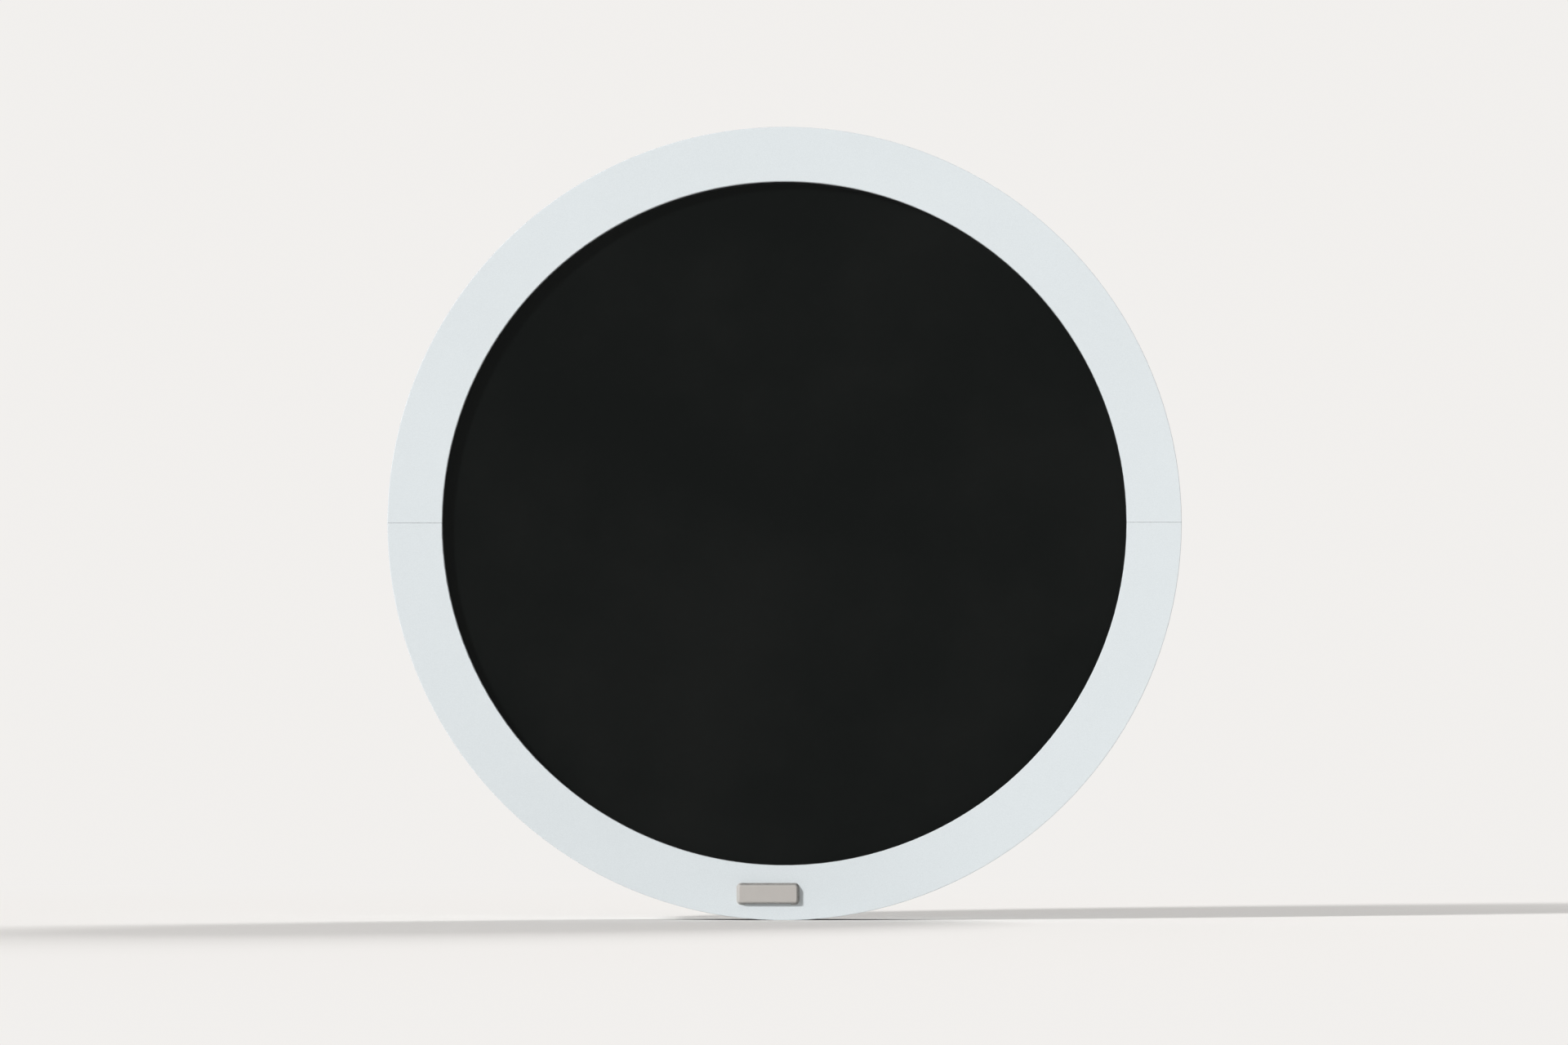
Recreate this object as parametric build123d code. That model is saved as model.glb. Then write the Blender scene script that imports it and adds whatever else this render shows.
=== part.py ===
from build123d import *
import math
import os

# Round fixed window for an outside wall: a thermally broken aluminium frame, bent in two
# halves, round a sealed triple-pane unit that is glazed from the room side.
# Millimetres. +Y points into the room and +Z up. The origin is on the window's axis, in the
# plane of the frame's outside face. Angles run counterclockwise from +X, seen from outside.

# Frame as a whole
daylight_radius = 300.0  # clear opening inside the frame
frame_face = 48.0  # width of the flat ring
frame_depth = 77.0
joint_gap = 0.2  # hairline where two halves meet, at three and nine o'clock

# Shell sections
wall = 1.8
edge_round = 0.6
glazing_leg = 22.0  # from the rebate's floor to the daylight edge
outer_shell_depth = 22.0
inner_shell_depth = 24.0
drain_chamber = 9.6  # clear height of the chamber that takes the rebate's water

# Thermal break strips
strip_web = 1.8
head_mouth = 2.6
head_base = 5.2
head_depth = 3.6
jaw_wall = 1.5

# Channels that hold the gaskets
channel_inset = 2.2
channel_width = 5.6
channel_depth = 2.6
channel_mouth = 3.2
channel_lip = 1.6
channel_side = 1.6

# Gaskets
gasket_gap = 5.0  # between channel and glass
gasket_width = 11.0
gasket_bulge = 0.4  # how far the gasket stands into the daylight opening
gasket_play = 0.3
relief_width = 2.6
relief_depth = 1.8
relief_place = 5.0
gasket_round = 0.7

# Sealed glass unit
pane_thickness = 4.0
glass_arris = 0.5
spacer_cover = 6.0  # from the glass edge to the spacer bar's back
spacer_height = 6.5
spacer_wall = 0.9
butyl_thickness = 0.4
butyl_height = 5.0
edge_seal_recess = 0.5
desiccant_play = 0.1

# Blocks between glass and frame
block_count = 6
block_length = 80.0
block_thickness = 4.0
block_overhang = 1.0
bridge_thickness = 2.0
bridge_rib = 2.0
bridge_play = 0.5
rib_play = 0.2

# Glazing bead and its clips
bead_depth = 21.0
bead_wall = 1.6
bead_play = 0.2
ridge = 1.4
clip_count = 8
clip_length = 26.0
clip_base = 1.8
clip_arm = 1.6
clip_barb = 1.1
clip_barb_length = 1.8
clip_clearance = 1.8  # between a clip's arms and the bead's gasket channel
clip_hole_radius = 2.1

# Clip screws
screw_radius = 1.75
screw_head_radius = 3.4
screw_head_height = 2.2
screw_reach = 6.0
screw_tip = 2.5
screw_tip_radius = 0.3
screw_seat = 0.05
recess_width = 0.8
recess_length = 3.6
recess_depth = 1.2

# Spigots that join the frame halves
splice_reach = 50.0  # along the rim, to each side of the joint
splice_wall = 3.0
splice_play = 0.2
pin_radius = 2.5
pin_offsets = (14.0, 38.0)  # along the rim, from the joint
pin_sink = 0.2

# Holes for the frame screws that go into the wall
fixing_count = 3
fixing_hole_radius = 4.0
fixing_inset = 7.0  # from the room-side face to the holes' centres

# Drainage, low on the frame
drain_offset = -14.0  # of slot and cap from the window's centre line
drain_slot_length = 34.0
drain_slot_height = 5.0
rebate_slot_length = 30.0
rebate_slot_width = 6.0
rebate_slot_angle = 8.0  # to each side of the lowest point

# Drain cap
cap_length = 55.0
cap_height = 19.0
cap_proud = 6.5
cap_wall = 1.5
cap_lap = 3.0  # below the drain slot
cap_slope = 20.0  # degrees that its sides lean in
cap_corner = 4.0
cap_round = 1.0
outlet_length = 40.0
outlet_gap = 2.5
leg_width = 6.0
leg_thickness = 1.4
leg_inset = 1.5  # from the ends of the slot's straight edges
leg_grip = 0.2
barb_height = 0.8
barb_length = 1.6
barb_play = 0.1  # between the lower barbs and the drain chamber's floor

# Places that follow from these sizes
margin = 1.0  # how far a cutter runs past what it cuts
outer_radius = daylight_radius + frame_face
rebate_radius = daylight_radius + glazing_leg
glass_radius = rebate_radius - bridge_thickness - block_thickness
inner_shell_front = frame_depth - inner_shell_depth
outer_back = outer_shell_depth - head_depth
inner_back = inner_shell_front + head_depth

channel_end = daylight_radius + channel_inset + channel_width
channel_centre = daylight_radius + channel_inset + channel_width / 2
leg_depth = wall + channel_depth + channel_lip
glass_front = leg_depth + gasket_gap
bead_front = frame_depth - bead_depth
glass_back = bead_front - gasket_gap
pane_gap = (glass_back - glass_front - 3 * pane_thickness) / 2
middle_pane_front = glass_front + pane_thickness + pane_gap
inner_pane_front = glass_back - pane_thickness

jaw_half = head_base / 2 + jaw_wall
rebate_strip_radius = rebate_radius + jaw_half
rim_strip_radius = outer_radius - jaw_half

drain_floor = rebate_radius + wall + drain_chamber
spacer_outside = glass_radius - spacer_cover
spacer_inside = spacer_outside - spacer_height

clip_tip = channel_end + channel_side + clip_clearance
ridge_radius = clip_tip + clip_barb_length
clip_front = bead_front + bead_wall + ridge
clip_back = frame_depth - bead_wall - ridge
clip_depth = (clip_front + clip_back) / 2
clip_angles = [(k + 0.5) * 360 / clip_count for k in range(clip_count)]

fixing_depth = frame_depth - fixing_inset
fixing_angles = [90 + k * 360 / fixing_count for k in range(fixing_count)]

outer_pin_depth = outer_back / 2
inner_pin_depth = (inner_back + frame_depth) / 2
pin_turns = [math.degrees(offset / outer_radius) for offset in pin_offsets]
pin_angles = [side + way * turn for side in (0, 180) for turn in pin_turns for way in (1, -1)]

leg_spread = drain_slot_length - drain_slot_height - leg_width - 2 * leg_inset
leg_far = abs(drain_offset) + (leg_spread + leg_width) / 2
slot_bottom = barb_height + barb_play - math.sqrt(drain_floor**2 - leg_far**2)
slot_centre = slot_bottom + drain_slot_height / 2
cap_bottom = slot_bottom - cap_lap
cap_centre = cap_bottom + cap_height / 2


# Sections are drawn with X as the radius and Y as the depth, and turn about Y

def bar(r0, r1, y0, y1):
    return Pos((r0 + r1) / 2, (y0 + y1) / 2) * Rectangle(abs(r1 - r0), abs(y1 - y0))


def rounded(section, corners, radius=edge_round):
    for r, y in corners:
        nearest = section.vertices().sort_by_distance((r, y, 0))[0]
        section = fillet(nearest, radius)
    return section


def at_angle(angle, piece):
    return Rot(0, -angle, 0) * piece


def full_ring(section):
    return revolve(section, axis=Axis.Y)


def half_ring(section, upper):
    half = revolve(section, axis=Axis.Y, revolution_arc=180)
    half -= Box(2 * outer_radius + 2 * margin, 2 * frame_depth + 2 * margin, joint_gap)
    return at_angle(180, half) if upper else half


def arc_piece(section, angle, length, radius):
    span = math.degrees(length / radius)
    return at_angle(angle + span / 2, revolve(section, axis=Axis.Y, revolution_arc=span))


def radial_rod(angle, depth, radius, r0, r1):
    rod = Pos((r0 + r1) / 2, depth, 0) * Rot(0, 90, 0) * Cylinder(radius, r1 - r0)
    return at_angle(angle, rod)


def outline(points, way):
    # Points run counterclockwise where way is 1, and are taken in reverse order where it is -1
    return Polygon(*points[::way], align=None)


def in_half(angles, upper):
    return [angle for angle in angles if (math.sin(math.radians(angle)) > 0) == upper]


# Features that more than one section has

def gasket_channel(seat, way, back):
    # An undercut channel whose mouth is in the plane y = seat and whose floor lies along way
    floor = seat + way * (channel_lip + channel_depth)
    block = bar(daylight_radius, channel_end + channel_side, seat, floor + way * back)
    cavity = bar(daylight_radius + channel_inset, channel_end, seat + way * channel_lip, floor)
    half = channel_mouth / 2
    mouth = bar(channel_centre - half, channel_centre + half, seat, seat + way * channel_lip)
    return block - cavity - mouth


def strip_head(radius, mouth, way):
    base = mouth + way * head_depth
    points = [
        (radius - head_mouth / 2, mouth),
        (radius + head_mouth / 2, mouth),
        (radius + head_base / 2, base),
        (radius - head_base / 2, base),
    ]
    return outline(points, way)


def strip_jaws(radius, mouth, way):
    block = bar(radius - jaw_half, radius + jaw_half, mouth, mouth + way * head_depth)
    return block - strip_head(radius, mouth, way)


# Frame shells

def outer_shell_section():
    section = bar(daylight_radius, outer_radius, 0, wall)
    section += gasket_channel(leg_depth, -1, wall)
    section += bar(rebate_radius, outer_radius, 0, outer_back)
    section -= bar(rebate_radius + wall, drain_floor, wall, outer_back - wall)
    section -= bar(drain_floor + wall, outer_radius - wall, wall, outer_back - wall)
    for radius in (rebate_strip_radius, rim_strip_radius):
        section += strip_jaws(radius, outer_shell_depth, -1)
    return rounded(section, [(daylight_radius, 0), (outer_radius, 0)])


def inner_shell_section():
    section = bar(rebate_radius, outer_radius, inner_back, frame_depth)
    section -= bar(rebate_radius + wall, outer_radius - wall, inner_back + wall, frame_depth - wall)
    for radius in (rebate_strip_radius, rim_strip_radius):
        section += strip_jaws(radius, inner_shell_front, 1)
    return rounded(section, [(rebate_radius, frame_depth), (outer_radius, frame_depth)])


def drain_slot():
    slot = Plane.XZ * Pos(drain_offset, slot_centre) * SlotOverall(drain_slot_length, drain_slot_height)
    return extrude(slot, amount=wall + margin, both=True)


def rebate_slot(angle):
    depth = (leg_depth + outer_back - wall) / 2
    shape = Pos(depth, 0) * Rot(0, 0, 90) * SlotOverall(rebate_slot_length, rebate_slot_width)
    slot = Plane.YZ.offset(rebate_radius + wall / 2) * shape
    return at_angle(angle, extrude(slot, amount=wall / 2 + margin, both=True))


def pin_holes(depth, upper):
    inside = outer_radius - wall - margin
    angles = in_half(pin_angles, upper)
    return [radial_rod(angle, depth, pin_radius, inside, outer_radius + margin) for angle in angles]


def outer_shell(upper):
    shell = half_ring(outer_shell_section(), upper) - pin_holes(outer_pin_depth, upper)
    if upper:
        return shell
    lowest = -90
    return shell - [
        drain_slot(),
        rebate_slot(lowest - rebate_slot_angle),
        rebate_slot(lowest + rebate_slot_angle),
    ]


def inner_shell(upper):
    shell = half_ring(inner_shell_section(), upper) - pin_holes(inner_pin_depth, upper)
    inside = rebate_radius - margin
    for angle in in_half(fixing_angles, upper):
        shell -= radial_rod(angle, fixing_depth, fixing_hole_radius, inside, outer_radius + margin)
    for angle in in_half(clip_angles, upper):
        shell -= radial_rod(angle, clip_depth, screw_radius, inside, rebate_radius + wall + margin)
    return shell


def thermal_strip(radius, upper):
    half = strip_web / 2
    section = bar(radius - half, radius + half, outer_shell_depth, inner_shell_front)
    section += strip_head(radius, outer_shell_depth, -1)
    section += strip_head(radius, inner_shell_front, 1)
    return half_ring(section, upper)


# Spigots across the frame's two joints, and their pins

def splice(side, r0, r1, y0, y1, pin_depth):
    # A short bent tube that fills the chamber r0 to r1 and y0 to y1 with a little play
    low, high = r0 + splice_play, r1 - splice_play
    front, back = y0 + splice_play, y1 - splice_play
    section = bar(low, high, front, back)
    section -= bar(low + splice_wall, high - splice_wall, front + splice_wall, back - splice_wall)
    piece = arc_piece(section, side, 2 * splice_reach, outer_radius)
    inside = high - splice_wall - margin
    for turn in pin_turns:
        for way in (1, -1):
            piece -= radial_rod(side + way * turn, pin_depth, pin_radius, inside, high + margin)
    return piece


def outer_splice(side):
    inside = drain_floor + wall
    back = outer_back - wall
    return splice(side, inside, outer_radius - wall, wall, back, outer_pin_depth)


def inner_splice(side):
    inside = rebate_radius + wall
    front = inner_back + wall
    back = frame_depth - wall
    return splice(side, inside, outer_radius - wall, front, back, inner_pin_depth)


def splice_pins():
    inside = outer_radius - wall - splice_play - splice_wall
    pins = []
    for depth in (outer_pin_depth, inner_pin_depth):
        for angle in pin_angles:
            pins.append(radial_rod(angle, depth, pin_radius, inside, outer_radius - pin_sink))
    return Compound(pins)


# Sealed glass unit

def pane(front):
    disc = Pos(0, front + pane_thickness / 2, 0) * Rot(90, 0, 0) * Cylinder(glass_radius, pane_thickness)
    return chamfer(disc.edges().filter_by(GeomType.CIRCLE), glass_arris)


def spacer(front):
    back = front + pane_gap - butyl_thickness
    front += butyl_thickness
    section = bar(spacer_inside, spacer_outside, front, back)
    inside = spacer_inside + spacer_wall
    section -= bar(inside, spacer_outside - spacer_wall, front + spacer_wall, back - spacer_wall)
    return full_ring(section)


def desiccant(front):
    skin = spacer_wall + desiccant_play
    y0 = front + butyl_thickness + skin
    y1 = front + pane_gap - butyl_thickness - skin
    return full_ring(bar(spacer_inside + skin, spacer_outside - skin, y0, y1))


def butyl(face, way):
    middle = (spacer_inside + spacer_outside) / 2
    half = butyl_height / 2
    return full_ring(bar(middle - half, middle + half, face, face + way * butyl_thickness))


def edge_seal(front):
    return full_ring(bar(spacer_outside, glass_radius - edge_seal_recess, front, front + pane_gap))


# Gaskets between frame and glass

def gasket(seat, way):
    # Foot and neck in the channel behind seat, and two sealing lips on the glass along way
    foot_half = channel_width / 2 - gasket_play
    neck_half = channel_mouth / 2 - gasket_play
    lip = seat - way * channel_lip
    floor = lip - way * (channel_depth - gasket_play)
    section = bar(channel_centre - foot_half, channel_centre + foot_half, floor, lip)
    section += bar(channel_centre - neck_half, channel_centre + neck_half, lip, seat)
    glass = seat + way * gasket_gap
    middle = (seat + glass) / 2
    relief = daylight_radius + relief_place
    head = [
        (channel_end + gasket_play, seat),
        (daylight_radius + gasket_width, middle),
        (daylight_radius + gasket_width, glass),
        (relief + relief_width / 2, glass),
        (relief, glass - way * relief_depth),
        (relief - relief_width / 2, glass),
        (daylight_radius - gasket_bulge, glass),
        (daylight_radius - gasket_bulge, middle),
        (daylight_radius + gasket_bulge, seat),
    ]
    section += outline(head, way)
    bulge = daylight_radius - gasket_bulge
    corners = [(bulge, glass), (bulge, middle), (daylight_radius + gasket_bulge, seat)]
    return full_ring(rounded(section, corners, gasket_round))


# Blocks that carry and centre the glass

def glazing_block(angle):
    y0 = glass_front - block_overhang
    y1 = glass_back + block_overhang
    section = bar(glass_radius, glass_radius + block_thickness, y0, y1)
    return arc_piece(section, angle, block_length, rebate_radius)


def block_bridge(angle):
    seat = rebate_radius - bridge_thickness
    section = bar(seat, rebate_radius, leg_depth + bridge_play, bead_front - bridge_play)
    rib_end = rebate_strip_radius - strip_web / 2 - rib_play
    section += bar(rebate_radius, rib_end, outer_shell_depth, outer_shell_depth + bridge_rib)
    section += bar(rebate_radius, rib_end, inner_shell_front - bridge_rib, inner_shell_front)
    return arc_piece(section, angle, block_length, rebate_radius)


# Glazing bead on the room side

def glazing_bead(upper):
    foot = rebate_radius - bead_play
    section = bar(daylight_radius, daylight_radius + bead_wall, bead_front, frame_depth)
    section += gasket_channel(bead_front, 1, bead_wall)
    half = channel_mouth / 2
    leg_start = channel_centre + half
    section += bar(leg_start, foot, bead_front, bead_front + bead_wall)
    section += bar(daylight_radius, foot, frame_depth - bead_wall, frame_depth)
    ridge_end = ridge_radius + ridge
    section += bar(ridge_radius, ridge_end, bead_front, clip_front)
    section += bar(ridge_radius, ridge_end, clip_back, frame_depth)
    corners = [(daylight_radius, frame_depth), (foot, frame_depth), (daylight_radius, bead_front)]
    return half_ring(rounded(section, corners), upper)


def bead_clip(angle):
    section = bar(rebate_radius - clip_base, rebate_radius, clip_front, clip_back)
    barb_end = clip_tip + clip_barb_length
    for face, way in ((clip_front, 1), (clip_back, -1)):
        section += bar(clip_tip, rebate_radius, face, face + way * clip_arm)
        section += bar(clip_tip, barb_end, face - way * clip_barb, face)
    clip = arc_piece(section, angle, clip_length, rebate_radius)
    inside = rebate_radius - clip_base - margin
    return clip - radial_rod(angle, clip_depth, clip_hole_radius, inside, rebate_radius + margin)


def clip_screw(angle):
    seat = rebate_radius - clip_base - screw_seat
    top = seat - screw_head_height
    shank_end = rebate_radius + screw_reach - screw_tip
    head = radial_rod(0, clip_depth, screw_head_radius, top, seat)
    shank = radial_rod(0, clip_depth, screw_radius, seat, shank_end)
    tip = Pos(shank_end + screw_tip / 2, clip_depth, 0) * Rot(0, 90, 0)
    tip *= Cone(screw_radius, screw_tip_radius, screw_tip)
    recess = Pos(top + recess_depth / 2, clip_depth, 0)
    recess *= Box(recess_depth, recess_length, recess_width) + Box(recess_depth, recess_width, recess_length)
    return at_angle(angle, head + shank + tip - recess)


# Drain cap: a hood that is open below, held in the slot by two pairs of snap legs

def cap_leg(x, way):
    # way 1 is the leg that grips the slot's upper edge and -1 the lower one
    edge = slot_centre + way * drain_slot_height / 2
    behind = wall + leg_grip
    y0 = cap_wall / 2 - cap_proud
    y1 = behind + barb_length
    leg = Pos(x, (y0 + y1) / 2, edge - way * leg_thickness / 2) * Box(leg_width, y1 - y0, leg_thickness)
    barb_centre = edge + way * (barb_height - leg_thickness) / 2
    barb = Pos(x, (behind + y1) / 2, barb_centre)
    return leg + barb * Box(leg_width, barb_length, leg_thickness + barb_height)


def sloped_hood(inset):
    # A block on the outside face that narrows towards its front, inset all round from the cap's own outside
    foot = RectangleRounded(cap_length - 2 * inset, cap_height - 2 * inset, cap_corner - inset)
    foot = Plane.XZ * Pos(drain_offset, cap_centre) * foot
    return extrude(foot, amount=cap_proud - inset, taper=cap_slope)


def drain_cap():
    hood = sloped_hood(0)
    front = hood.faces().sort_by(Axis.Y)[0]
    cap = fillet(front.edges(), cap_round) - sloped_hood(cap_wall)
    outlet = Box(outlet_length, outlet_gap, 2 * cap_wall + margin)
    cap -= Pos(drain_offset, -outlet_gap / 2, cap_bottom) * outlet
    for x in (drain_offset - leg_spread / 2, drain_offset + leg_spread / 2):
        for way in (1, -1):
            cap += cap_leg(x, way)
    return cap


# All pieces by name

parts = {
    "outer_gasket": gasket(leg_depth, 1),
    "inner_gasket": gasket(bead_front, -1),
    "outer_pane": pane(glass_front),
    "middle_pane": pane(middle_pane_front),
    "inner_pane": pane(inner_pane_front),
    "splice_pins": splice_pins(),
    "clip_screws": Compound([clip_screw(angle) for angle in clip_angles]),
    "drain_cap": drain_cap(),
}

for place, upper in (("upper", True), ("lower", False)):
    parts[f"outer_shell_{place}"] = outer_shell(upper)
    parts[f"inner_shell_{place}"] = inner_shell(upper)
    parts[f"rebate_strip_{place}"] = thermal_strip(rebate_strip_radius, upper)
    parts[f"rim_strip_{place}"] = thermal_strip(rim_strip_radius, upper)
    parts[f"glazing_bead_{place}"] = glazing_bead(upper)

for hand, side in (("right", 0), ("left", 180)):
    parts[f"outer_splice_{hand}"] = outer_splice(side)
    parts[f"inner_splice_{hand}"] = inner_splice(side)

for gap, front in (("outer", glass_front + pane_thickness), ("inner", middle_pane_front + pane_thickness)):
    parts[f"{gap}_spacer"] = spacer(front)
    parts[f"{gap}_desiccant"] = desiccant(front)
    parts[f"{gap}_butyl_front"] = butyl(front, 1)
    parts[f"{gap}_butyl_back"] = butyl(front + pane_gap, -1)
    parts[f"{gap}_edge_seal"] = edge_seal(front)

for k in range(block_count):
    angle = k * 360 / block_count
    parts[f"glazing_block_{k + 1}"] = glazing_block(angle)
    parts[f"block_bridge_{k + 1}"] = block_bridge(angle)

for k, angle in enumerate(clip_angles):
    parts[f"bead_clip_{k + 1}"] = bead_clip(angle)

os.makedirs("parts", exist_ok=True)
for name, solid in parts.items():
    export_step(solid, f"parts/{name}.step")
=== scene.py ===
import math
import bmesh
import bpy
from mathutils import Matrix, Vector


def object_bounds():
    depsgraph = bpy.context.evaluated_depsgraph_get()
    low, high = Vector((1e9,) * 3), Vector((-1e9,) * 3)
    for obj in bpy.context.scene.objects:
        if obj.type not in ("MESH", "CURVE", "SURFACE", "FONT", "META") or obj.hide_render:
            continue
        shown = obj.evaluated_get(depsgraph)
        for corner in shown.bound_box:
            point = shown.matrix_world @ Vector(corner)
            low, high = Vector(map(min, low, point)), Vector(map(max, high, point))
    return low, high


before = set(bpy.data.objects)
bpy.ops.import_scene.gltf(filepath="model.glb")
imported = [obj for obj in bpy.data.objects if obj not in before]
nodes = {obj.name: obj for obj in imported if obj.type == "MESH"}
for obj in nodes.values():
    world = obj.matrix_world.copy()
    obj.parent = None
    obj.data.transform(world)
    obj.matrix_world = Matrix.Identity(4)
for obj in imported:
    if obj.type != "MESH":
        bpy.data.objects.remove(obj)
cad_low, cad_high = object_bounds()


# Outside shell of the frame
# Two bent halves of one extruded aluminium profile, powder coated silver grey
# with a fine metallic flake. In the wall only its flat ring shows.

class Link:
    """An output socket on which plain arithmetic works, by adding Math nodes."""

    def __init__(self, owner, socket):
        self.owner = owner
        self.socket = socket

    def __add__(self, other):
        return self.owner.maths("ADD", self, other)

    def __sub__(self, other):
        return self.owner.maths("SUBTRACT", self, other)

    def __rsub__(self, other):
        return self.owner.maths("SUBTRACT", other, self)

    def __mul__(self, other):
        return self.owner.maths("MULTIPLY", self, other)

    def __pow__(self, other):
        return self.owner.maths("POWER", self, other)

    __radd__ = __add__


class Nodes:
    """A node tree that is being filled, for a material or for the world."""

    def __init__(self, tree):
        self.tree = tree

    def feed(self, value, socket):
        if isinstance(value, Link):
            self.tree.links.new(value.socket, socket)
        elif isinstance(value, tuple) and len(value) == 3 and socket.type == "RGBA":
            socket.default_value = (*value, 1.0)
        else:
            socket.default_value = value

    def node(self, kind, settings, sockets, output=0):
        made = self.tree.nodes.new(kind)
        for name, value in settings.items():
            setattr(made, name, value)
        for name, value in sockets.items():
            self.feed(value, made.inputs[name])
        return Link(self, made.outputs[output])

    def maths(self, operation, *values):
        return self.node("ShaderNodeMath", {"operation": operation}, dict(enumerate(values)))

    def mixed(self, amount, colour, other):
        # A Mix node has its two colours at inputs[6] and inputs[7], and the mixed one at outputs[2]
        sockets = {0: amount, 6: colour, 7: other}
        return self.node("ShaderNodeMix", {"data_type": "RGBA"}, sockets, 2)

    def axis(self, place, name):
        return self.node("ShaderNodeSeparateXYZ", {}, {0: place}, name)

    def eased(self, value, start, end):
        # 0 before start and 1 after end, with a soft change between them
        sockets = {"Value": value, "From Min": start, "From Max": end}
        return self.node("ShaderNodeMapRange", {"interpolation_type": "SMOOTHSTEP"}, sockets)


class Finish(Nodes):
    """A material whose constants are set on its shader, and whose nodes vary it from place to place."""

    def __init__(self, name, constants):
        self.material = bpy.data.materials.new(name)
        self.material.use_nodes = True
        super().__init__(self.material.node_tree)
        self.shader = self.tree.nodes["Principled BSDF"]
        self.set(constants)
        self.place = self.node("ShaderNodeTexCoord", {}, {}, "Object")

    def set(self, values):
        for name, value in values.items():
            self.feed(value, self.shader.inputs[name])

    def noise(self, place, per_metre, detail=2.0, roughness=0.5):
        sockets = {"Vector": place, "Scale": per_metre, "Detail": detail, "Roughness": roughness}
        return self.node("ShaderNodeTexNoise", {}, sockets)

    def cells(self, per_metre, output):
        return self.node("ShaderNodeTexVoronoi", {}, {"Vector": self.place, "Scale": per_metre}, output)

    def cell_shades(self, per_metre):
        # One random value for each cell
        return self.node("ShaderNodeSeparateColor", {}, {"Color": self.cells(per_metre, "Color")})

    def along(self):
        # The window's round unrolled: length along the rim, depth and radius, in metres
        x, y, z = (self.axis(self.place, name) for name in "XYZ")
        radius = (x * x + z * z) ** 0.5
        arc = self.maths("ARCTAN2", z, x) * rim_radius
        return arc, y, radius

    def streaks(self, along_rim, across_rim, detail, roughness=0.5):
        # Noise with so many changes in a metre along the rim, and so many across it
        arc, depth, radius = self.along()
        sockets = {0: arc * along_rim, 1: depth * across_rim, 2: radius * across_rim}
        stretched = self.node("ShaderNodeCombineXYZ", {}, sockets)
        return self.noise(stretched, 1.0, detail, roughness)

    def bumped(self, height, size, strength, under=None):
        sockets = {"Height": height, "Distance": size, "Strength": strength}
        if under is not None:
            sockets["Normal"] = under
        return self.node("ShaderNodeBump", {}, sockets)


def dress(material, *names):
    for name in names:
        for slot in nodes[name].material_slots:
            slot.material = material


rim_radius = cad_high.x
flake_size = 0.00055
peel_size = 0.0022
peel_height = 0.00002
bend_height = 0.00015
coat_pale = (0.660, 0.706, 0.728)
coat_deep = (0.588, 0.632, 0.654)


def powder_coat(name):
    coat = Finish(name, {"Specular IOR Level": 0.25})
    flake = coat.cell_shades(1 / flake_size)
    cloud = coat.noise(coat.place, per_metre=9.0, detail=3.0)
    peel = coat.noise(coat.place, 1 / peel_size, roughness=0.4)
    bend = coat.streaks(along_rim=22.0, across_rim=60.0, detail=2.0)
    wavy = coat.bumped(bend, bend_height, strength=0.5)
    coat.set({
        "Base Color": coat.mixed(flake * 0.6 + cloud * 0.4, coat_deep, coat_pale),
        "Metallic": flake * 0.06,
        "Roughness": 0.58 + flake * 0.10 + cloud * 0.06,
        "Normal": coat.bumped(peel, peel_height, strength=0.6, under=wavy),
    })
    return coat.material


silver_coat = powder_coat("silver_powder_coat")
dress(silver_coat, "outer_shell_upper", "outer_shell_lower")


# Room-side shell of the frame
# The same coated aluminium, a box profile that carries the whole window. It is
# drilled for the screws that hold it to the wall.

dress(silver_coat, "inner_shell_upper", "inner_shell_lower")


# Thermal break strips
# Extruded strips of black polyamide with glass fibre, rolled into the jaws of
# both shells. One pair closes the rebate and one pair the rim.

strip_black = (0.018, 0.018, 0.020)
strip_worn = (0.045, 0.045, 0.048)
strip_streak_height = 0.00003


def fibre_plastic(name):
    plastic = Finish(name, {"Specular IOR Level": 0.4})
    streak = plastic.streaks(along_rim=6.0, across_rim=900.0, detail=4.0, roughness=0.6)
    fibre = plastic.noise(plastic.place, per_metre=1500.0)
    plastic.set({
        "Base Color": plastic.mixed(streak * 0.6 + fibre * 0.4, strip_black, strip_worn),
        "Roughness": 0.48 + streak * 0.22,
        "Normal": plastic.bumped(streak + fibre * 0.5, strip_streak_height, strength=0.5),
    })
    return plastic.material


polyamide = fibre_plastic("black_polyamide")
dress(polyamide, "rebate_strip_upper", "rebate_strip_lower", "rim_strip_upper", "rim_strip_lower")


# Spigots and their pins
# Bent tubes of bare aluminium inside the shells' chambers, across the joints
# at the left and the right. Two steel pins hold each end.

bare_pale = (0.70, 0.70, 0.69)
bare_deep = (0.52, 0.52, 0.52)
die_line_height = 0.00002


def mill_aluminium(name):
    metal = Finish(name, {"Metallic": 1.0})
    die_line = metal.streaks(along_rim=4.0, across_rim=1400.0, detail=3.0, roughness=0.7)
    metal.set({
        "Base Color": metal.mixed(die_line, bare_deep, bare_pale),
        "Roughness": 0.28 + die_line * 0.20,
        "Normal": metal.bumped(die_line, die_line_height, strength=0.6),
    })
    return metal.material


aluminium = mill_aluminium("bare_aluminium")
dress(aluminium, "outer_splice_left", "outer_splice_right", "inner_splice_left", "inner_splice_right")

steel_pale = (0.62, 0.61, 0.59)
steel_deep = (0.40, 0.40, 0.39)
scratch_height = 0.00001


def turned_steel(name):
    metal = Finish(name, {"Metallic": 1.0})
    scratch = metal.noise(metal.place, per_metre=2600.0, detail=4.0, roughness=0.7)
    stain = metal.noise(metal.place, per_metre=220.0)
    metal.set({
        "Base Color": metal.mixed(scratch * 0.6 + stain * 0.4, steel_deep, steel_pale),
        "Roughness": 0.22 + scratch * 0.22,
        "Normal": metal.bumped(scratch, scratch_height, strength=0.6),
    })
    return metal.material


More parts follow.
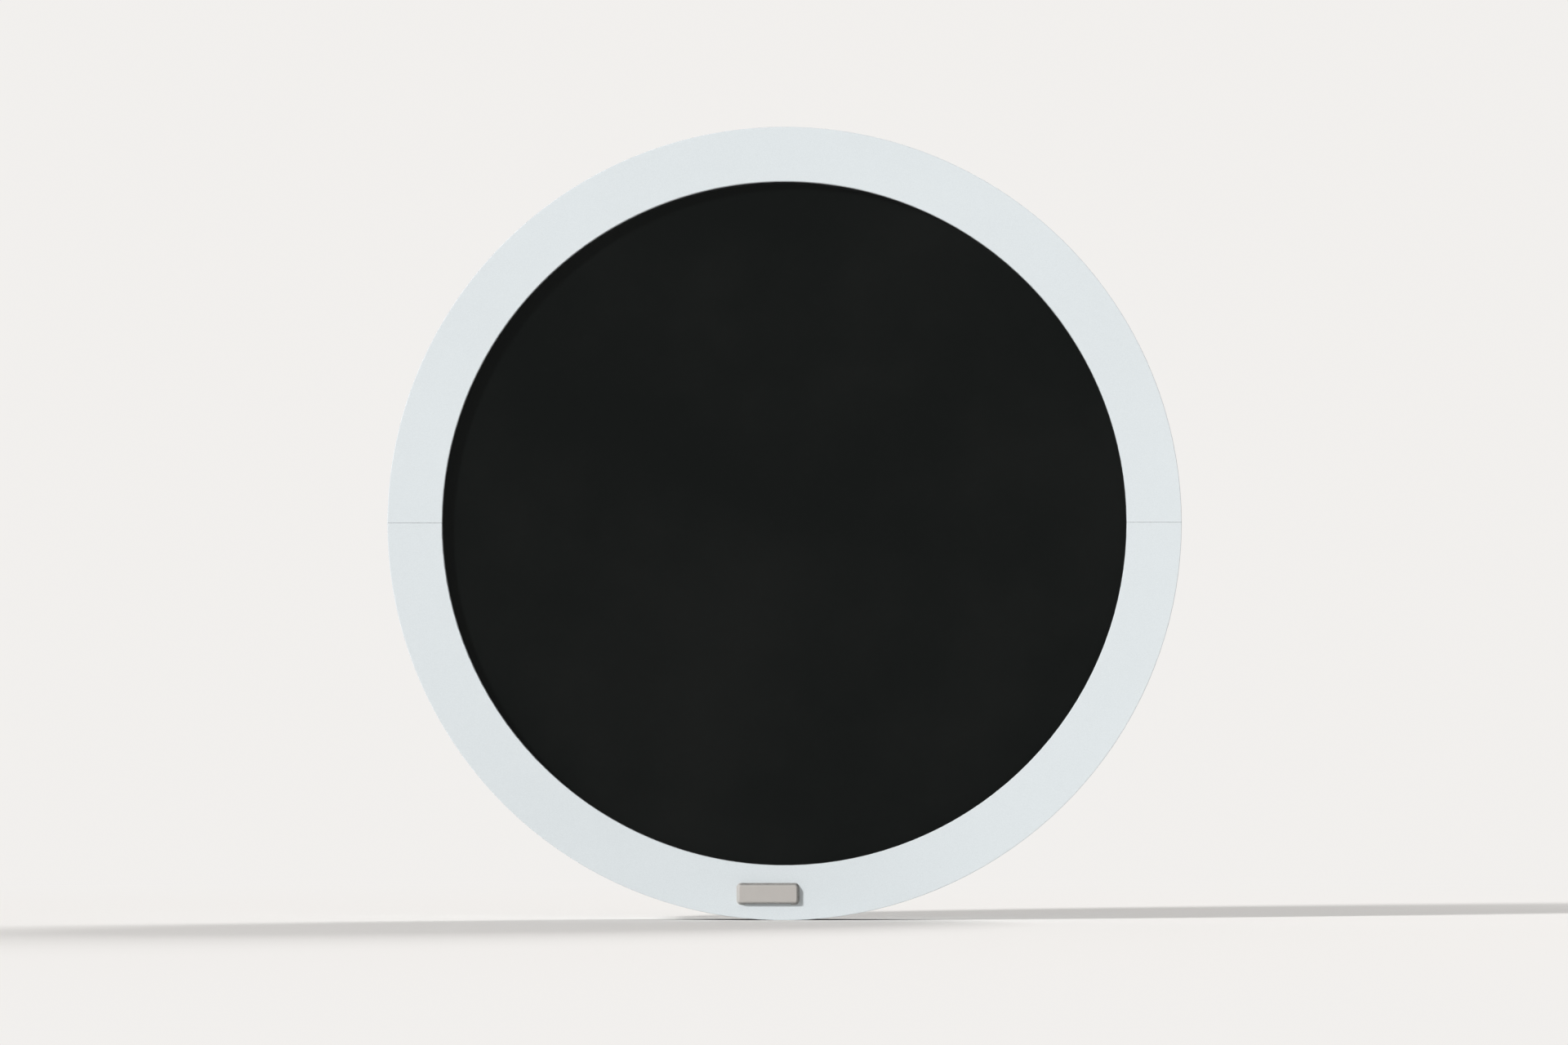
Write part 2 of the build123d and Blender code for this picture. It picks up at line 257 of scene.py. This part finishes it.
stainless = turned_steel("stainless_steel")
dress(stainless, "splice_pins")


# Glazing gaskets
# Black synthetic rubber, drawn in one length and pushed into the channels of
# the shell and of the bead. The ends are cut and glued at the top.

rubber_black = (0.012, 0.012, 0.012)
rubber_grey = (0.040, 0.040, 0.039)
cut_width = 0.0005
cut_depth = 0.0003
cut_place = rim_radius * math.pi / 2


def gasket_rubber(name):
    rubber = Finish(name, {"Specular IOR Level": 0.35})
    streak = rubber.streaks(along_rim=10.0, across_rim=1600.0, detail=3.0, roughness=0.6)
    bloom = rubber.noise(rubber.place, per_metre=60.0, detail=4.0, roughness=0.6)
    arc = rubber.along()[0]
    from_end = rubber.maths("ABSOLUTE", arc - cut_place)
    cut = 1 - rubber.eased(from_end, 0.0, cut_width)
    rubber.set({
        "Base Color": rubber.mixed(rubber.eased(bloom, 0.45, 0.8), rubber_black, rubber_grey),
        "Roughness": 0.52 + streak * 0.18 + cut * 0.2,
        "Normal": rubber.bumped(streak * 0.1 - cut, cut_depth, strength=0.5),
    })
    return rubber.material


dress(gasket_rubber("gasket_rubber"), "outer_gasket", "inner_gasket")


# Sealed glass unit
# Three panes of float glass, two of them clear. The outer pane is painted near black,
# painted shade for the dark room seen through it, so from outside the unit reads as one black disc.

float_glass_ior = 1.52
glass_painted_shade = (0.0032, 0.0040, 0.0038)
glass_dusty = (0.0085, 0.0090, 0.0085)
glass_clear = (0.955, 0.975, 0.965)
glass_filmed = (0.930, 0.955, 0.940)
wave_height = 0.0001


def shade_painted_glass(name):
    glass = Finish(name, {"Specular IOR Level": 0.5, "IOR": float_glass_ior})
    film = glass.noise(glass.place, per_metre=5.0, detail=5.0, roughness=0.6)
    film = glass.eased(film, 0.35, 0.75)
    speck = glass.eased(glass.noise(glass.place, per_metre=900.0), 0.68, 0.82)
    # The near-black base colour is painted shade for the dark room behind the glass, with film and dust
    # specks mixed in
    glass.set({
        "Base Color": glass.mixed(film * 0.5 + speck * 0.5, glass_painted_shade, glass_dusty),
        "Roughness": 0.006 + film * 0.012,
    })
    return glass.material


def clear_glass(name):
    glass = Finish(name, {"Transmission Weight": 1.0, "IOR": float_glass_ior, "Roughness": 0.0})
    film = glass.noise(glass.place, per_metre=7.0, detail=4.0, roughness=0.6)
    wave = glass.noise(glass.place, per_metre=8.0, detail=1.0)
    glass.set({
        "Base Color": glass.mixed(glass.eased(film, 0.35, 0.8), glass_clear, glass_filmed),
        "Normal": glass.bumped(wave, wave_height, strength=0.3),
    })
    return glass.material


dress(shade_painted_glass("shade_painted_black_glass"), "outer_pane")
dress(clear_glass("clear_glass"), "middle_pane", "inner_pane")


# Spacer bars and seals of the glass unit
# Black plastic bars with rows of fine holes towards the gap, drying beads
# inside, butyl against the glass and a black sealant round the outside.

spacer_black = (0.014, 0.014, 0.015)
spacer_worn = (0.034, 0.034, 0.035)
hole_pitch = 0.0025
hole_depth = 0.00005
drying_dark = (0.52, 0.47, 0.40)
drying_pale = (0.74, 0.70, 0.62)
drying_beads_per_metre = 1100.0
drying_bead_height = 0.0004
butyl_black = (0.010, 0.010, 0.010)
butyl_grey = (0.022, 0.022, 0.022)
sealant_black = (0.022, 0.022, 0.023)
sealant_grey = (0.045, 0.045, 0.047)
trowel_height = 0.0002


def spacer_bar(name):
    bar = Finish(name, {"Specular IOR Level": 0.3})
    arc = bar.along()[0]
    row = bar.maths("PINGPONG", arc, hole_pitch / 2) * (2 / hole_pitch)
    hole = bar.eased(row, 0.75, 0.9)
    grain = bar.noise(bar.place, per_metre=1800.0)
    bar.set({
        "Base Color": bar.mixed(grain, spacer_black, spacer_worn),
        "Roughness": 0.5 + grain * 0.2,
        "Normal": bar.bumped(grain * 0.3 - hole, hole_depth, strength=0.7),
    })
    return bar.material


def drying_beads(name):
    beads = Finish(name, {})
    round_bead = beads.cells(drying_beads_per_metre, "Distance")
    shade = beads.cell_shades(drying_beads_per_metre)
    beads.set({
        "Base Color": beads.mixed(shade, drying_dark, drying_pale),
        "Roughness": 0.7 + shade * 0.2,
        "Normal": beads.bumped(1 - round_bead, drying_bead_height, strength=0.9),
    })
    return beads.material


def sealant(name, dark, pale, least_roughness):
    paste = Finish(name, {"Specular IOR Level": 0.4})
    trowel = paste.noise(paste.place, per_metre=120.0, detail=3.0, roughness=0.6)
    paste.set({
        "Base Color": paste.mixed(trowel, dark, pale),
        "Roughness": least_roughness + trowel * 0.2,
        "Normal": paste.bumped(trowel, trowel_height, strength=0.5),
    })
    return paste.material


butyl = sealant("butyl", butyl_black, butyl_grey, 0.3)
dress(spacer_bar("black_spacer"), "outer_spacer", "inner_spacer")
dress(drying_beads("drying_beads"), "outer_desiccant", "inner_desiccant")
dress(butyl, "outer_butyl_front", "outer_butyl_back", "inner_butyl_front", "inner_butyl_back")
dress(sealant("edge_sealant", sealant_black, sealant_grey, 0.5), "outer_edge_seal", "inner_edge_seal")


# Glazing blocks and bridges
# Moulded plastic blocks carry and centre the glass. Each lies on a ribbed
# bridge that spans the rebate and lets water pass beneath.

block_deep = (0.015, 0.09, 0.27)
block_blue = (0.03, 0.14, 0.36)
bridge_black = (0.016, 0.016, 0.017)
bridge_worn = (0.035, 0.035, 0.036)
spark_height = 0.00002


def moulded_plastic(name, dark, pale, least_roughness):
    plastic = Finish(name, {"Specular IOR Level": 0.45})
    spark = plastic.noise(plastic.place, per_metre=1400.0, detail=3.0, roughness=0.6)
    flow = plastic.noise(plastic.place, per_metre=45.0, detail=3.0)
    plastic.set({
        "Base Color": plastic.mixed(flow * 0.7 + spark * 0.3, dark, pale),
        "Roughness": least_roughness + spark * 0.15,
        "Normal": plastic.bumped(spark, spark_height, strength=0.6),
    })
    return plastic.material


def named(start):
    return [name for name in nodes if name.startswith(start)]


dress(moulded_plastic("blue_block_plastic", block_deep, block_blue, 0.4), *named("glazing_block"))
dress(moulded_plastic("black_bridge_plastic", bridge_black, bridge_worn, 0.45), *named("block_bridge"))


# Glazing bead, its clips and their screws
# Two coated aluminium halves hold the glass from the room side. They snap over
# plastic clips, each screwed to the frame.

clip_dark = (0.05, 0.05, 0.052)
clip_grey = (0.10, 0.10, 0.104)

dress(silver_coat, "glazing_bead_upper", "glazing_bead_lower")
dress(moulded_plastic("grey_clip_plastic", clip_dark, clip_grey, 0.35), *named("bead_clip"))
dress(stainless, "clip_screws")


# Drain cap
# A moulded hood of beige-grey plastic, snapped into the drain slot low on the
# ring. Rain that gets into the frame leaves through the gap below it.

cap_beige = (0.470, 0.448, 0.425)
cap_worn = (0.400, 0.382, 0.362)
# Painted shade, with some blotchy grime, for the hood's flanks that face away from the key lamp
cap_shade_and_grime = (0.130, 0.125, 0.118)
cap_front = cad_low.y
cap_left = min(corner[0] for corner in nodes["drain_cap"].bound_box)
cap_round = 0.0006
cap_flank = 0.0024
cap_spark_height = 0.00003


def shaded_and_weathered_plastic(name):
    plastic = Finish(name, {"Specular IOR Level": 0.4})
    spark = plastic.noise(plastic.place, per_metre=1100.0, detail=3.0, roughness=0.6)
    flow = plastic.noise(plastic.place, per_metre=60.0, detail=3.0)
    # Painted shade with some grime: the hood's sides that run down to the ring are darkened, all but
    # the left one, which faces the key lamp
    blotch = plastic.noise(plastic.place, per_metre=240.0, detail=4.0, roughness=0.7)
    near_ring = plastic.eased(plastic.axis(plastic.place, "Y"), cap_front + cap_round, cap_front / 2)
    from_left = plastic.axis(plastic.place, "X") - cap_left
    kept = plastic.eased(from_left, cap_flank / 2, 2 * cap_flank)
    shade_and_grime = near_ring * kept * (0.40 + plastic.eased(blotch, 0.3, 0.7) * 0.45)
    moulded = plastic.mixed(flow * 0.6 + spark * 0.4, cap_worn, cap_beige)
    plastic.set({
        "Base Color": plastic.mixed(shade_and_grime, moulded, cap_shade_and_grime),
        "Roughness": 0.38 + spark * 0.12 + shade_and_grime * 0.3,
        "Normal": plastic.bumped(spark, cap_spark_height, strength=0.6),
    })
    return plastic.material


dress(shaded_and_weathered_plastic("beige_grey_plastic"), "drain_cap")


# Studio
# The window stands on its rim on a pale floor in a pale room that fades into it.
# One lamp shines from the front left and a weaker one from behind on the right.

backdrop = (0.885, 0.868, 0.850)
dim_side = (0.13, 0.135, 0.13)
room_light = 0.36
floor_reach = 30.0
floor_sides = 96
fade_start, fade_end = 0.7, 3.0
dim_start, dim_end = 0.6, 2.5
ahead_start, ahead_end = 0.15, 0.80
low_end, low_start = 0.15, 0.60

floor_mesh = bpy.data.meshes.new("floor")
build = bmesh.new()
bmesh.ops.create_circle(build, cap_ends=True, segments=floor_sides, radius=floor_reach)
build.to_mesh(floor_mesh)
build.free()
floor = bpy.data.objects.new("floor", floor_mesh)
floor.location = (0.0, 0.0, cad_low.z)
bpy.context.scene.collection.objects.link(floor)


def ray(tree, name):
    return tree.node("ShaderNodeLightPath", {}, {}, name)


# Far from the window the floor glows as bright as the room, so that no edge shows between them.
# What glossy surfaces mirror low in front of the window is dim, so the dark glass stays black.
paper = Finish("floor_paper", {"Base Color": backdrop, "Roughness": 0.9, "Specular IOR Level": 0.1})
reach = paper.node("ShaderNodeVectorMath", {"operation": "LENGTH"}, {0: paper.place}, "Value")
far = paper.eased(reach, fade_start, fade_end)
mirrored = ray(paper, "Is Glossy Ray")
seen = ray(paper, "Is Camera Ray") + mirrored + ray(paper, "Is Transmission Ray")
shown = far * paper.maths("MINIMUM", seen, 1.0)
in_front = paper.eased(paper.axis(paper.place, "Y") * -1.0, dim_start, dim_end)
glow_colour = paper.mixed(in_front * mirrored, backdrop, dim_side)
glow = paper.node("ShaderNodeEmission", {}, {"Color": glow_colour, "Strength": 1.0})
lit = Link(paper, paper.shader.outputs[0])
blend = paper.node("ShaderNodeMixShader", {}, {0: shown, 1: lit, 2: glow})
paper.feed(blend, paper.tree.nodes["Material Output"].inputs["Surface"])
floor_mesh.materials.append(paper.material)

world = bpy.data.worlds.new("studio")
world.use_nodes = True
bpy.context.scene.world = world
room = Nodes(world.node_tree)
toward = room.node("ShaderNodeTexCoord", {}, {}, "Generated")
ahead = room.eased(room.axis(toward, "Y") * -1.0, ahead_start, ahead_end)
low = 1 - room.eased(room.axis(toward, "Z"), low_end, low_start)
mirrored = ray(room, "Is Glossy Ray")
air = room.mixed(ahead * low * mirrored, backdrop, dim_side)
shown = room.maths("MAXIMUM", ray(room, "Is Camera Ray"), mirrored)
shown = room.maths("MAXIMUM", shown, ray(room, "Is Transmission Ray"))
background = world.node_tree.nodes["Background"].inputs
room.feed(air, background["Color"])
room.feed(room_light + shown * (1.0 - room_light), background["Strength"])


def pointing(bearing, climb):
    # Bearing counts in degrees from straight ahead of the window, to the right as seen from outside
    bearing, climb = math.radians(bearing), math.radians(climb)
    flat = math.cos(climb)
    return Vector((math.sin(bearing) * flat, -math.cos(bearing) * flat, math.sin(climb)))


def far_lamp(name, bearing, climb, level, width):
    lamp = bpy.data.lights.new(name, "SUN")
    lamp.energy = level * math.pi
    lamp.angle = math.radians(width)
    holder = bpy.data.objects.new(name, lamp)
    holder.rotation_euler = pointing(bearing, climb).to_track_quat("Z", "Y").to_euler()
    bpy.context.scene.collection.objects.link(holder)


far_lamp("key_lamp", bearing=-43.0, climb=24.0, level=0.94, width=8.0)
far_lamp("back_lamp", bearing=150.0, climb=30.0, level=0.54, width=24.0)


# Camera
# It looks at the window almost straight from outside, a little from the right
# and from a little below its centre.

camera_bearing, camera_climb = 1.2, -2.4
camera_distance = 6.0
share_of_height = 0.76
sensor = 36.0
photo_width, photo_height = 1920, 1280

view_height = (cad_high.z - cad_low.z) / share_of_height
camera = bpy.data.cameras.new("camera")
camera.sensor_width = sensor
camera.lens = sensor * photo_height / photo_width * camera_distance / view_height
camera.clip_start, camera.clip_end = 0.05, 200.0
eye = bpy.data.objects.new("camera", camera)
back = pointing(camera_bearing, camera_climb)
middle = Vector((0.0, 0.0, (cad_low.z + cad_high.z) / 2))
eye.location = middle + back * camera_distance
eye.rotation_euler = back.to_track_quat("Z", "Y").to_euler()
bpy.context.scene.collection.objects.link(eye)
bpy.context.scene.camera = eye
bpy.context.scene.view_settings.view_transform = "Standard"
